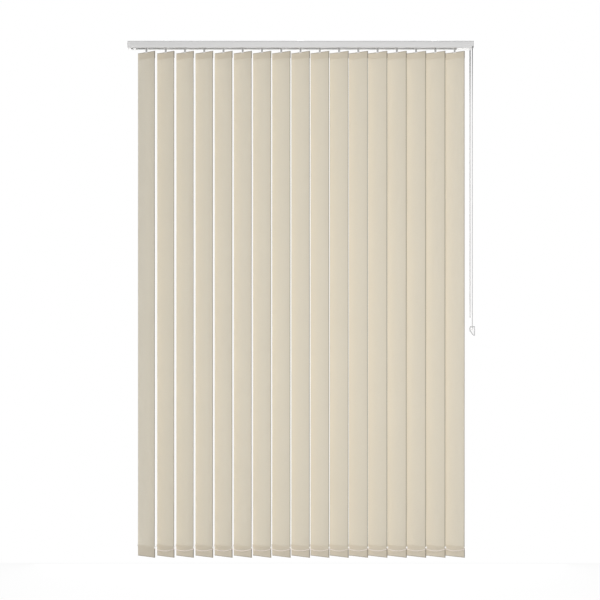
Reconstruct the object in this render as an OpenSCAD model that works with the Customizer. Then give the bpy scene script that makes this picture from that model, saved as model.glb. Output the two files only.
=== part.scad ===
// Vertical blind: 17 fabric slats hang from carriers in a headrail.
// A bead chain turns the slats and a cord draws them to the control end.
// Millimetres. X runs along the headrail with the controls at +X, +Y points to the window, +Z is up.
// Z = 0 is the ceiling face of the brackets.

/* [Headrail] */
// Depth of the headrail from front to back
rail_depth = 44; // [44:1:50]
// Height of the headrail
rail_height = 28.6; // [28.6:0.2:34]
// Wall thickness of the extrusion
rail_wall = 1.4; // [1.2:0.1:1.6]
// Width of the slot in its underside
slot_width = 16; // [15:0.5:17]

/* [Slats] */
// Width of one slat
slat_width = 89; // [80:1:89]
// Distance between neighbouring slats when drawn out
slat_pitch = 80; // [78:1:86]
// Length of one slat from top fold to bottom fold
slat_drop = 2095; // [900:5:3000]
// Angle between the slats and the headrail
slat_angle = 31.5; // [20:0.5:70]
// Height of the slats' cross curl
slat_curl = 3; // [1:0.5:3.5]
// Thickness of the fabric
fabric = 0.5; // [0.3:0.1:0.7]
// Height of the bottom pocket
bottom_pocket = 46; // [44:1:60]

/* [Controls] */
// Length of the tilt chain's loop below the headrail
chain_drop = 1116; // [400:4:1800]
// Diameter of the tilt chain's beads
chain_bead = 3.6; // [3.2:0.1:3.8]
// Depth of the cord weight's roller below the headrail
cord_drop = 1164; // [400:4:1800]
// Diameter of the draw cord
cord_size = 1.8; // [1.4:0.1:1.9]

/* [Brackets] */
// Distance from each end of the headrail to the outer bracket there
bracket_inset = 160; // [100:10:400]
// Diameter of the bracket's screw hole
screw_hole = 4.5; // [4:0.1:5]

/* [Hidden] */
$fn = 48;
eps = 0.01;
gap = 0.2;
slat_count = 17;

// Headrail: the brackets slide in the groove between its top lips and its web
end_room = 73;
rail_length = slat_count * slat_pitch + end_room;
rail_top = -2.4;
rail_bottom = rail_top - rail_height;
floor_top = rail_bottom + rail_wall;
top_round = 5;
bottom_round = 3;
groove_height = 1.9;
groove_opening = 32;
web_top = rail_top - rail_wall - groove_height;
chamber_top = web_top - rail_wall;
inner_half = rail_depth / 2 - rail_wall;
idler_block = 12;
control_block = 7.5;
rail_left = -rail_length / 2 + idler_block;
rail_right = rail_length / 2 - control_block;
control_length = 66;
control_left = rail_length / 2 - control_length;
control_notch = 20;
idler_corner = 3;
control_corner = 6;
tray_wall = 1.2;
tray_floor = 1.4;
tray_top = floor_top + gap + tray_floor;
idler_length = 32.5;
idler_right = -rail_length / 2 + idler_length;
idler_wall = 16;
control_wall = 18;
slot_filler = 10;
cap_wall = 3;
rib_thickness = 1.6;
rib_length = 12;
outlet_notch = 4.8;
outlet_notch_height = 7.5;

// Brackets
bracket_length = 28;
bracket_wing = 1.4;
bracket_overlap = 1.6;
bracket_play = 1.5;
screw_seat = 2.4;
screw_head = 9.2;

// Tilt drive: the rod runs behind the hook stems, level with their worm wheels
rod_y = 8.4;
rod_z = floor_top + 12.1;
rod_core = 1.7;
rod_lobe = 2.05;
rod_journal = 2.1;
worm_radius = 3.2;
worm_bore = 2.4;
worm_length = 9.6;
wheel_root = 4.1;
wheel_tip = 4.9;
wheel_teeth = 12;
wheel_bottom = floor_top + 8.8;
wheel_height = 6.4;
chain_inset = 11.5;
chain_x = rail_length / 2 - chain_inset;
chain_pitch = 5;
chain_pockets = 10;
chain_circle = chain_pockets * chain_pitch / (2 * PI);
spool_flange = 1;
spool_rim = 1.2;
hub_radius = 2.5;
hub_reach = 3.8;
journal_reach = 4.6;

// Draw cord: two runs in the headrail, over a pair of pulleys, down to the roller of the weight
cord_inset = 5;
cord_x = rail_length / 2 - cord_inset;
cord_front = -17;
cord_rear = -9;
cord_mid = (cord_front + cord_rear) / 2;
cord_turn = (cord_rear - cord_front) / 2;
run_z = floor_top + 15.6;
pulley_turn = 6;
pulley_z = run_z - pulley_turn;
return_inset = 26;
return_x = -rail_length / 2 + return_inset;
pulley_width = 3.2;
pin_radius = 1.5;
post_radius = 2.6;

// Carriers
carrier_length = 18;
carrier_front = -6.8;
carrier_back = 12.9;
carrier_top = floor_top + 18;
shoulder = floor_top + 7.6;
caster_radius = 3.6;
caster_z = floor_top + 0.1 + caster_radius;
caster_near = 9;
caster_width = 3.4;
axle_radius = 1.4;
stem_radius = 3;
strip_width = 8;
strip_thickness = 0.4;
strip_slope = 0.033;
strip_root_z = carrier_top + 0.7;
strip_tab = 8;
strip_lap = 9;
lead_grip = 5;
cord_guide = 1.5;

// Slats: the panel hangs in front of the hanger and the weight, and its folds close round them
first_x = -(slat_count - 1) * slat_pitch / 2;
slat_top = rail_bottom - 14;
slat_bottom = slat_top - slat_drop;
weight_thickness = 1.4;
fold = (weight_thickness + fabric + 0.3) / 2;
top_pocket = 28;
top_flat = 83;
bottom_flat = 118;
curl_blend = 40;
hanger_thickness = 1.2;
hanger_margin = 2;
hanger_top = slat_top - 2.6;
hanger_bottom = slat_top - 24;
tongue_width = 8;
notch_room = 1.5;
notch_depth = 4;
tongue_top = slat_top + 7.7;
eye_z = slat_top + 4.7;
eye_height = 3.6;
eye_width = 5.2;
nib_radius = 1.3;
prong_gap = 0.9;
prong_back = 2.2;
hook_width = 7;
tooth_root = 1.6;
tooth_tip = 0.8;
head_top = rail_bottom - 2;

// Bottom chains: they run under a round clip at each top corner of the weight, outside the fabric's edge
weight_top = slat_bottom + 42;
clip_radius = 3.6;
clip_thickness = 1.7;
clip_neck = 1.9;
clip_u = slat_width / 2 + 2;
clip_v = fold + fabric / 2 + 0.1 + clip_thickness / 2;
clip_z = weight_top + 1.5;
link_bead = 2.4;
link_z = clip_z - clip_radius - 0.3 - link_bead / 2;
link_sag = 8.5;
link_end = 3;

// Cord weight: an open frame about its roller, with a straight right side and a slanted lower left one
weight_z = rail_bottom - cord_drop;
frame_left = -12.5;
frame_right = 10.5;
frame_top = 12;
frame_bottom = -27;
frame_foot = 8;
frame_slant = 20;
frame_corner = 6;
frame_thickness = 5.6;
frame_wall = 4;
roller_core = cord_turn - cord_size / 2 - 0.1;
roller_flange = 1;
roller_half = 2.6;
roller_pin_radius = 0.9;

function two_digits(i) = i < 10 ? str("0", i) : str(i);
function slat_name(i) = str("slat_", two_digits(i));
function carrier_name(i) = str("carrier_", two_digits(i));
function slat_x(i) = first_x + (i - 1) * slat_pitch;

// Shared shapes

// Extrudes a (y, z) outline along X from x0 to x1
module along_x(x0, x1)
    translate([x0, 0, 0]) rotate([90, 0, 90]) linear_extrude(x1 - x0) children();

// Extrudes an (x, z) outline along Y, centred on y = 0
module through_y(thickness)
    rotate([90, 0, 0]) linear_extrude(thickness, center = true) children();

module rod_x(x0, x1, radius)
    translate([x0, 0, 0]) rotate([0, 90, 0]) cylinder(h = x1 - x0, r = radius);

module rod_y(y0, y1, radius)
    translate([0, y0, 0]) rotate([-90, 0, 0]) cylinder(h = y1 - y0, r = radius);

// A box from its two corners
module span(low, high) translate(low) cube(high - low);

// The headrail's outline, drawn in by an inset all round
module rail_outline(inset) {
    half = rail_depth / 2 - inset;
    top = rail_top - inset;
    bottom = rail_bottom + inset;
    upper = top_round - inset;
    lower = bottom_round - inset;
    difference() {
        translate([-half, bottom]) square([2 * half, top - bottom]);
        for (side = [-1, 1]) scale([side, 1]) {
            difference() {
                translate([half - upper, top - upper]) square(upper + 1);
                translate([half - upper, top - upper]) circle(upper);
            }
            difference() {
                translate([half - lower, bottom - 1]) square([lower + 1, lower + 1]);
                translate([half - lower, bottom + lower]) circle(lower);
            }
        }
    }
}

// A grooved pulley about Z, with a bore and the cord's centre line at radius turn
module pulley(turn, width, bore) {
    rim = turn + 1;
    groove = turn - cord_size / 2 - 0.1;
    rotate_extrude() difference() {
        translate([bore, -width / 2]) square([rim - bore, width]);
        polygon([[groove, -cord_size / 2 - 0.05], [rim + eps, -width / 2 + 0.3],
                 [rim + eps, width / 2 - 0.3], [groove, cord_size / 2 + 0.05]]);
    }
}

function unit(a) = a / norm(a);

// A tube of 8 sides swept along a flat route whose plane has the normal side
module tube(route, side, radius) {
    sides = 8;
    last = len(route) - 1;
    tangents = [for (k = [0:last])
        unit(route[min(k + 1, last)] - route[max(k - 1, 0)])];
    points = [for (k = [0:last], j = [0:sides - 1])
        let (across = cross(side, tangents[k]), a = (j + 0.5) * 360 / sides)
        route[k] + radius * (cos(a) * across + sin(a) * side)];
    walls = [for (k = [0:last - 1], j = [0:sides - 1])
        let (n = (j + 1) % sides)
        [k * sides + j, (k + 1) * sides + j, (k + 1) * sides + n, k * sides + n]];
    ends = [[for (j = [0:sides - 1]) j],
            [for (j = [0:sides - 1]) last * sides + sides - 1 - j]];
    polyhedron(points, concat(walls, ends));
}

function arc_yz(x, y, z, radius, from, to, steps) =
    [for (k = [0:steps]) let (a = from + (to - from) * k / steps)
        [x, y + radius * cos(a), z + radius * sin(a)]];
function arc_xz(x, y, z, radius, from, to, steps) =
    [for (k = [0:steps]) let (a = from + (to - from) * k / steps)
        [x + radius * cos(a), y, z + radius * sin(a)]];
function arc_xy(x, y, z, radius, from, to, steps) =
    [for (k = [0:steps]) let (a = from + (to - from) * k / steps)
        [x + radius * cos(a), y + radius * sin(a), z]];

// Headrail, end caps and brackets

module headrail() color("gainsboro") difference() {
    along_x(rail_left, rail_right) difference() {
        rail_outline(0);
        difference() {
            rail_outline(rail_wall);
            translate([-rail_depth / 2, chamber_top]) square([rail_depth, rail_wall]);
        }
        translate([-groove_opening / 2, rail_top - rail_wall - 1])
            square([groove_opening, rail_wall + 2]);
        translate([-slot_width / 2, rail_bottom - 1]) square([slot_width, rail_wall + 2]);
    }
    span([control_left, -control_notch, rail_bottom - 1],
         [rail_right + 1, control_notch, floor_top]);
}

// A plain cap the size of the headrail's outline, with its outer upright edges rounded
module cap_block(x0, x1, corner) {
    intersection() {
        along_x(x0, x1) rail_outline(0);
        translate([0, 0, rail_bottom - 1]) linear_extrude(rail_height + 2) {
            translate([x0 - corner, -rail_depth / 2])
                square([x1 - x0, rail_depth]);
            for (y = [-1, 1]) translate([x1 - corner, y * (rail_depth / 2 - corner)])
                circle(corner);
            translate([x1 - corner - eps, -rail_depth / 2 + corner])
                square([corner + eps, rail_depth - 2 * corner]);
        }
    }
}

// A tray that slides into the headrail's chamber, with a floor and two side walls
module tray(x0, x1, wall_height) intersection() {
    along_x(x0, x1) rail_outline(rail_wall + gap);
    union() {
        span([x0, -rail_depth / 2, rail_bottom],
             [x1, rail_depth / 2, floor_top + gap + tray_floor]);
        for (side = [-1, 1]) scale([1, side, 1])
            span([x0, inner_half - gap - tray_wall, rail_bottom],
                 [x1, rail_depth / 2, floor_top + gap + wall_height]);
    }
}

// Left cap: its tray carries the return pulley's post, and is open over the slot up to a filler
module idler_end_cap() color("whitesmoke") difference() {
    filler_left = idler_right - slot_filler;
    post_foot = tray_top - tray_floor / 2;
    union() {
        mirror([1, 0, 0]) cap_block(-rail_left, rail_length / 2, idler_corner);
        tray(rail_left - eps, idler_right, idler_wall);
        span([filler_left, -slot_width / 2 + gap, rail_bottom],
             [idler_right, slot_width / 2 - gap, floor_top + gap + eps]);
        translate([return_x, cord_mid, post_foot]) {
            cylinder(h = run_z - pulley_width / 2 - gap - post_foot, r = post_radius);
            cylinder(h = run_z + pulley_width / 2 + 1 - post_foot, r = pin_radius);
        }
    }
    span([rail_left + tray_wall, -slot_width / 2, rail_bottom - 1],
         [filler_left, slot_width / 2, tray_top + eps]);
    translate([0, rod_y, rod_z])
        rod_x(rail_left - journal_reach - gap, rail_left + 1, rod_journal + 0.1);
}

module return_pulley() color("white") translate([return_x, cord_mid, run_z])
    pulley(cord_turn, pulley_width, pin_radius + 0.1);

module control_end_cap() color("whitesmoke") {
    cap_inside = rail_length / 2 - cap_wall;
    rib_front = cord_rear + pulley_width / 2 + 4 * gap;
    difference() {
        union() {
            cap_block(rail_right, rail_length / 2, control_corner);
            tray(control_left + gap, rail_right + eps, control_wall);
            span([control_left + gap, -control_notch + gap, rail_bottom],
                 [rail_right + eps, control_notch - gap, floor_top + gap + eps]);
            span([rail_right - rib_length, rib_front, tray_top - eps],
                 [rail_right + eps, rib_front + rib_thickness, pulley_z + 4]);
        }
        span([rail_right - eps, -inner_half + gap + tray_wall, tray_top],
             [cap_inside, rib_front, run_z + 4]);
        for (y = [-1, 1]) translate([chain_x, rod_y + y * chain_circle, rail_bottom - 1])
            cylinder(h = 5, r = chain_bead / 2 + 0.4);
        for (y = [cord_front, cord_rear]) translate([cord_x, y, rail_bottom - 1])
            cylinder(h = 5, r = cord_size / 2 + 0.7);
        span([cord_x - outlet_notch / 2, -rail_depth / 2 - 1, rail_bottom - 1],
             [cord_x + outlet_notch / 2, cord_front, rail_bottom + outlet_notch_height]);
        translate([0, rod_y, rod_z])
            rod_x(rail_right - 1, rail_right + hub_reach + 2 * gap, hub_radius + 0.1);
        translate([cord_x - pulley_turn, 0, pulley_z])
            rod_y(-inner_half, rib_front + 1, pin_radius + 0.05);
    }
}

module pulley_pin() color("silver")
    translate([cord_x - pulley_turn, 0, pulley_z])
        rod_y(-inner_half + gap + 0.1, cord_rear + pulley_width / 2 + rib_thickness, pin_radius);

module cord_pulley(y) translate([cord_x - pulley_turn, y, pulley_z]) rotate([90, 0, 0])
    pulley(pulley_turn, pulley_width, pin_radius + 0.1);

module cord_pulley_front() color("white") cord_pulley(cord_front);

module cord_pulley_rear() color("white") cord_pulley(cord_rear);

module bracket(x) color("silver") translate([x, 0, 0]) {
    half = bracket_length / 2;
    neck = groove_opening / 2 - bracket_play;
    wing = groove_opening / 2 + bracket_overlap;
    wing_top = rail_top - rail_wall - gap / 2;
    wing_bottom = wing_top - bracket_wing;
    difference() {
        union() {
            span([-half, -neck, wing_bottom], [half, neck, 0]);
            span([-half, -wing, wing_bottom], [half, wing, wing_top]);
        }
        translate([0, 0, wing_bottom - 1]) cylinder(h = 2 - wing_bottom, d = screw_hole);
        translate([0, 0, wing_bottom - 1])
            cylinder(h = 1 - wing_bottom - screw_seat, d = screw_head);
    }
}

module bracket_left() bracket(-rail_length / 2 + bracket_inset);

module bracket_middle() bracket(0);

module bracket_right() bracket(rail_length / 2 - bracket_inset);

// Tilt drive

module tilt_rod() color("silver") translate([0, rod_y, rod_z]) {
    along_x(rail_left + 1, chain_x - 2.8) {
        circle(rod_core);
        for (a = [0:120:240]) rotate(a) translate([0, -0.7]) square([rod_lobe, 1.4]);
    }
    rod_x(rail_left - journal_reach, rail_left + 1 + eps, rod_journal);
}

// Spool with a rib between each two beads of the chain, on a hub that turns in the end cap
module chain_wheel() color("white") translate([chain_x, rod_y, rod_z]) {
    half = chain_bead / 2 + 0.3;
    difference() {
        union() {
            rod_x(-half - spool_flange, -half, chain_circle + spool_rim);
            rod_x(half, half + spool_flange, chain_circle + spool_rim);
            rod_x(-half - spool_flange, half + spool_flange, chain_circle - chain_bead / 2 - gap);
            for (k = [0:chain_pockets - 1]) rotate([k * 360 / chain_pockets, 0, 0])
                span([-half - eps, -0.6, 2], [half + eps, 0.6, chain_circle - 0.8]);
            rod_x(half, rail_right + hub_reach - chain_x, hub_radius);
        }
        rod_x(-half - 2, rail_right - chain_x, 0.4 + rod_core);
        along_x(-half - 2, half - 1) for (a = [0:120:240]) rotate(a)
            translate([0, -0.8]) square([rod_lobe + 0.1, 1.6]);
    }
}

// Carriers

module carrier_body(cord_grip) difference() {
    half = carrier_length / 2;
    union() {
        span([-half, carrier_front, shoulder], [half, carrier_back, carrier_top]);
        span([-half, carrier_front, floor_top + 1], [half, -carrier_front, shoulder + eps]);
        span([-cord_grip, -inner_half + 0.6, run_z - 3.5],
             [cord_grip, carrier_front + eps, run_z + 3.5]);
        translate([0, 0, caster_z])
            rod_y(-caster_near - caster_width - 0.4, caster_near + caster_width + 0.4, axle_radius);
        for (side = [-1, 1]) scale([1, side, 1])
            span([-half, strip_width / 2 + 0.3, carrier_top - eps],
                 [-half + 2.4, strip_width / 2 + 1.5, carrier_top + 3]);
    }
    translate([0, 0, wheel_bottom - gap]) cylinder(h = 20, r = wheel_tip + 0.3);
    cylinder(h = 200, r = stem_radius + 0.1, center = true);
    translate([0, rod_y, rod_z]) {
        rod_x(-worm_length / 2 - gap, worm_length / 2 + gap, worm_radius + 0.4);
        span([-worm_length / 2 - gap, -worm_radius - 0.4, 0],
             [worm_length / 2 + gap, worm_radius + 0.4, 20]);
        rod_x(-half - 1, half + 1, worm_bore + 0.2);
    }
    for (y = [cord_front, cord_rear]) translate([0, y, run_z]) rod_x(-20, 20, cord_size / 2 + 0.4);
    span([strip_tab - 0.2, -strip_width / 2 - 0.1, carrier_top - 2.6],
         [strip_tab + 0.7, strip_width / 2 + 0.1, carrier_top + 1]);
}

// Springy strip that reaches from its carrier to the next one and spaces them
module spacer_strip() {
    reach = slat_pitch + strip_lap;
    rise = strip_slope * (reach + strip_tab);
    through_y(strip_width) polygon([
        [strip_tab, strip_root_z], [-reach, strip_root_z + rise],
        [-reach, strip_root_z + rise + strip_thickness],
        [strip_tab + 0.5, strip_root_z + strip_thickness],
        [strip_tab + 0.5, carrier_top - 2.4], [strip_tab, carrier_top - 2.4]]);
}

module carrier(i) translate([slat_x(i), 0, 0]) {
    color("ivory") carrier_body(i == 1 ? lead_grip : cord_guide);
    color("white") for (side = [-1, 1]) translate([0, 0, caster_z]) scale([1, side, 1])
        difference() {
            rod_y(caster_near, caster_near + caster_width, caster_radius);
            rod_y(caster_near - 1, caster_near + caster_width + 1, axle_radius + 0.05);
        }
    color("dimgray") translate([0, rod_y, rod_z]) difference() {
        rod_x(-worm_length / 2, worm_length / 2, worm_radius);
        rod_x(-worm_length, worm_length, worm_bore);
    }
    if (i > 1) color("silver") spacer_strip();
}

// Slats

function smooth(t) = let (c = min(max(t, 0), 1)) c * c * (3 - 2 * c);
function curl_at(z) = min(
    smooth((slat_top - top_flat - z) / curl_blend),
    smooth((z - slat_bottom - bottom_flat) / curl_blend));

// The folded fabric's path: [y, z, outward y, outward z, curl] from the top flap to the bottom flap
fold_top = slat_top - fabric / 2 - fold;
fold_bottom = slat_bottom + fabric / 2 + fold;
panel_heights = concat(
    [for (k = [0:4]) slat_top - top_flat - curl_blend * k / 4],
    [for (k = [4:-1:0]) slat_bottom + bottom_flat + curl_blend * k / 4]);
slat_path = concat(
    [[fold, fold_top - top_pocket, 1, 0, 0]],
    [for (a = [0:45:180]) [fold * cos(a), fold_top + fold * sin(a), cos(a), sin(a), 0]],
    [for (z = panel_heights) [-fold, z, -1, 0, curl_at(z)]],
    [for (a = [180:45:360]) [fold * cos(a), fold_bottom + fold * sin(a), cos(a), sin(a), 0]],
    [[fold, fold_bottom + bottom_pocket, 1, 0, 0]]);

module slat_fabric() {
    strips = 6;
    columns = strips + 1;
    stations = len(slat_path);
    inner = stations * columns;
    function across(j) = (j / strips - 0.5) * slat_width;
    function at(p, j, offset) = [
        across(j),
        p[0] + p[2] * offset - p[4] * slat_curl * (1 - pow(2 * across(j) / slat_width, 2)),
        p[1] + p[3] * offset];
    points = [for (offset = [fabric / 2, -fabric / 2], p = slat_path, j = [0:strips])
        at(p, j, offset)];
    faces = [for (k = [0:stations - 2], j = [0:strips - 1])
        let (a = k * columns + j, b = a + 1, c = b + columns, d = a + columns)
        each [[a, b, c], [a, c, d],
              [inner + a, inner + c, inner + b], [inner + a, inner + d, inner + c]]];
    edges = [for (k = [0:stations - 2])
        let (a = k * columns, b = a + columns, c = a + strips, d = c + columns)
        each [[a, b, inner + b, inner + a], [c, inner + c, inner + d, d]]];
    hems = [for (j = [0:strips - 1])
        let (a = j, b = inner - columns + j)
        each [[a, inner + a, inner + a + 1, a + 1], [b, b + 1, inner + b + 1, inner + b]]];
    difference() {
        polyhedron(points, concat(faces, edges, hems));
        span([-tongue_width / 2 - notch_room, -10, slat_top - notch_depth],
             [tongue_width / 2 + notch_room, 10, slat_top + 1]);
    }
}

// Plate in the top pocket with a tongue and an eye above the fold
module slat_hanger() through_y(hanger_thickness) difference() {
    union() {
        translate([-slat_width / 2 + hanger_margin, hanger_bottom])
            square([slat_width - 2 * hanger_margin, hanger_top - hanger_bottom]);
        translate([-tongue_width / 2, hanger_top - 1]) square([tongue_width, tongue_top - hanger_top + 1]);
    }
    translate([-eye_width / 2, eye_z - eye_height / 2]) square([eye_width, eye_height]);
}

// Worm wheel, stem and the two prongs that hold the hanger's tongue
module hook_stem() {
    nib_z = eye_z + eye_height / 2 - nib_radius - 0.2;
    translate([0, 0, wheel_bottom]) linear_extrude(wheel_height) {
        circle(wheel_root);
        for (k = [0:wheel_teeth - 1]) rotate(k * 360 / wheel_teeth)
            polygon([[0, -tooth_root / 2], [wheel_root, -tooth_root / 2], [wheel_tip, -tooth_tip / 2],
                     [wheel_tip, tooth_tip / 2], [wheel_root, tooth_root / 2], [0, tooth_root / 2]]);
    }
    translate([0, 0, head_top - eps])
        cylinder(h = wheel_bottom - head_top + 2 * eps, r = stem_radius);
    span([-hook_width / 2, -prong_back, tongue_top + gap], [hook_width / 2, prong_back, head_top]);
    for (side = [-1, 1]) scale([1, side, 1])
        span([-hook_width / 2, prong_gap, slat_top + 0.5],
             [hook_width / 2, prong_back, tongue_top + gap + eps]);
    translate([0, 0, nib_z]) rod_y(-prong_gap + 0.4, prong_gap + eps, nib_radius);
}

// Plate in the bottom pocket, with a clip for each bottom chain on a neck beside the fabric
module slat_weight() {
    plate_half = slat_width / 2 - 1;
    plate_bottom = slat_bottom + fabric + 0.9;
    neck_bottom = weight_top - clip_neck;
    neck_end = clip_u + 1.5;
    through_y(weight_thickness)
        translate([-plate_half, plate_bottom]) square([2 * plate_half, weight_top - plate_bottom]);
    for (side = [0, 180]) rotate(side) {
        translate([clip_u, -clip_v, clip_z])
            rod_y(-clip_thickness / 2, clip_thickness / 2, clip_radius);
        span([plate_half - eps, -weight_thickness / 2, neck_bottom],
             [neck_end, weight_thickness / 2, weight_top]);
        span([slat_width / 2 + 0.4, -clip_v, neck_bottom],
             [neck_end, weight_thickness / 2, weight_top]);
    }
}

module slat(i) translate([slat_x(i), 0, 0]) rotate(-slat_angle) {
    color("wheat") slat_fabric();
    color("white") slat_hanger();
    color("white") hook_stem();
    color("white") slat_weight();
}

// Chains, cords and the cord weight

// From the front outlet down, round the bottom and up to the rear outlet
chain_route = concat(
    [[chain_x, rod_y - chain_circle, rail_bottom]],
    arc_yz(chain_x, rod_y, rail_bottom - chain_drop + chain_circle, chain_circle, 180, 360, 10),
    [[chain_x, rod_y + chain_circle, rail_bottom]]);

module tilt_chain() color("white") tube(chain_route, [1, 0, 0], chain_bead / 2);

cord_route = concat(
    [[cord_x, cord_front, rail_bottom]],
    arc_yz(cord_x, cord_mid, weight_z, cord_turn, 180, 360, 10),
    [[cord_x, cord_rear, rail_bottom]]);

module draw_cord() color("white") tube(cord_route, [1, 0, 0], cord_size / 2);

function run_bend(y) = concat(
    arc_xz(cord_x - pulley_turn, y, pulley_z, pulley_turn, 90, 0, 6),
    [[cord_x, y, rail_bottom]]);
return_bend = arc_xy(return_x, cord_mid, run_z, cord_turn, 270, 90, 8);

// The two runs over the pulleys and the turn round the return pulley, butted end to end
module draw_cord_run() color("white") {
    run_end = cord_x - pulley_turn;
    tube(run_bend(cord_front), [0, 1, 0], cord_size / 2);
    tube(run_bend(cord_rear), [0, 1, 0], cord_size / 2);
    tube(concat([[run_end, cord_front, run_z]], return_bend, [[run_end, cord_rear, run_z]]),
         [0, 0, 1], cord_size / 2);
}

// The cord weight's outline about the roller's axis, drawn in by an inset
module weight_outline(inset) {
    left = frame_left + inset;
    right = frame_right - inset;
    top = frame_top - inset;
    bottom = frame_bottom + inset;
    corner = frame_corner - inset * 0.8;
    difference() {
        polygon([[left, top], [right, top], [right, bottom],
                 [right - frame_foot + 1.4 * inset, bottom], [left, bottom + frame_slant]]);
        difference() {
            translate([left - 1, top - corner]) square(corner + 1);
            translate([left + corner, top - corner]) circle(corner);
        }
    }
}

module cord_weight() color("white") translate([cord_x, cord_mid, weight_z]) difference() {
    through_y(frame_thickness) difference() {
        weight_outline(0);
        weight_outline(frame_wall);
    }
    rod_x(frame_left - 1, frame_right + 1, roller_pin_radius + 0.05);
}

module weight_roller() color("white") translate([cord_x, cord_mid, weight_z]) difference() {
    union() {
        rod_x(frame_left + frame_wall + gap, frame_right - frame_wall - gap, roller_core);
        for (x = [-roller_half, roller_half - roller_flange])
            rod_x(x, x + roller_flange, cord_turn + 0.6);
    }
    rod_x(frame_left, frame_right, roller_pin_radius + 0.1);
}

module roller_pin() color("silver") translate([cord_x, cord_mid, weight_z])
    rod_x(frame_left + gap, frame_right - gap, roller_pin_radius);

// One bottom chain along X, hanging in a shallow bow between neighbouring clips
module bottom_chain(side) {
    steps = 4;
    clip = [side * (clip_u * cos(slat_angle) - clip_v * sin(slat_angle)),
            -side * (clip_u * sin(slat_angle) + clip_v * cos(slat_angle)), 0];
    bows = [for (i = [1:slat_count - 1], k = [0:steps - 1])
        [slat_x(i) + slat_pitch * k / steps, 0, link_z - link_sag * 4 * (k / steps) * (1 - k / steps)]];
    route = concat([[slat_x(1) - link_end, 0, link_z]], bows,
                   [[slat_x(slat_count), 0, link_z], [slat_x(slat_count) + link_end, 0, link_z]]);
    translate(clip) tube(route, [0, 1, 0], link_bead / 2);
}

module bottom_chain_front() color("mistyrose") bottom_chain(1);

module bottom_chain_rear() color("mistyrose") bottom_chain(-1);

// Assembly
headrail();
idler_end_cap();
return_pulley();
control_end_cap();
pulley_pin();
cord_pulley_front();
cord_pulley_rear();
chain_wheel();
tilt_rod();
bracket_left();
bracket_middle();
bracket_right();
tilt_chain();
draw_cord();
draw_cord_run();
cord_weight();
weight_roller();
roller_pin();
bottom_chain_front();
bottom_chain_rear();
for (i = [1:slat_count]) carrier(i);
for (i = [1:slat_count]) slat(i);
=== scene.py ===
"""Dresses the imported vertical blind: fabric slats, bead chains, a braided cord and moulded plastics."""

from __future__ import annotations

import logging
import math
from collections.abc import Callable, Iterator, Sequence
from contextlib import contextmanager
from dataclasses import dataclass, field
from enum import Enum
from typing import ClassVar

import bmesh
import bpy
from mathutils import Matrix, Vector

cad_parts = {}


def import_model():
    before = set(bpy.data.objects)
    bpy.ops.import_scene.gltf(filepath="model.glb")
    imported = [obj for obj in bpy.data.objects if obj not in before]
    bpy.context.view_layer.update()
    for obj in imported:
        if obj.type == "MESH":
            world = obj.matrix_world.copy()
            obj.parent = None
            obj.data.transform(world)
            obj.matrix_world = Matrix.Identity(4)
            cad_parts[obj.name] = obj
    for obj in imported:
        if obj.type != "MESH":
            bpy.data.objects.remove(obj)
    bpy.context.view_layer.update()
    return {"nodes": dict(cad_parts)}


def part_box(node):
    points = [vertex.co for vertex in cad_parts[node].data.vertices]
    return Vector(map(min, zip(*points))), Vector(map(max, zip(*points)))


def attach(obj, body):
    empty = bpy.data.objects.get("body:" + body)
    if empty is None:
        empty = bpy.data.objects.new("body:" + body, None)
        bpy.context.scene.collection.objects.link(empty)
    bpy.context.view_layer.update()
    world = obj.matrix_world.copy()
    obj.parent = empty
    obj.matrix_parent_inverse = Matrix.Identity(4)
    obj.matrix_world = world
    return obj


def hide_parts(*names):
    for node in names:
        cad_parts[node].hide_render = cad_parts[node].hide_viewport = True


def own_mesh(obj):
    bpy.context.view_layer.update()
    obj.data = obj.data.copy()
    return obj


LOG = logging.getLogger("vertical_blind")
FACING = 0.9  # A face looks along an axis if its unit normal reaches this along it.
TINY = 1e-5  # Places closer than this are the same.
Piece = bpy.types.Object
Material = bpy.types.Material
Tree = bpy.types.NodeTree
Node = bpy.types.Node
Socket = bpy.types.NodeSocket
Point = tuple[float, float, float]
Colour = tuple[float, float, float, float]
Span = tuple[float, float]
FaceTest = Callable[[Vector, Vector], bool]
PlaceTest = Callable[[Vector], bool]


class Slot(Enum):
    """The record's material slots; nothing in this script gives them to a piece."""

    FABRIC = "slat_fabric"
    PLASTIC = "white_plastic"
    CHAIN = "chain_plastic"
    LINK = "link_chain_plastic"
    CORD = "cord_white"


@dataclass(frozen=True)
class SlatSize:
    """One slat's outline, from which its fittings' sizes follow."""

    width: float = 0.089
    top: float = -0.045
    bottom: float = -2.140
    fabric: float = 0.0005
    hanger_margin: float = 0.002
    weight_margin: float = 0.001
    clip_reach: float = 0.002
    clip_front: float = 0.0023

    @property
    def half(self) -> float:
        """Half of the width."""
        return self.width / 2

    @property
    def clip_u(self) -> float:
        """Distance of a chain clip from the slat's axis, along its width."""
        return self.half + self.clip_reach


def everywhere(_place: Vector, _normal: Vector) -> bool:
    """Passes every face."""
    return True


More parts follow.
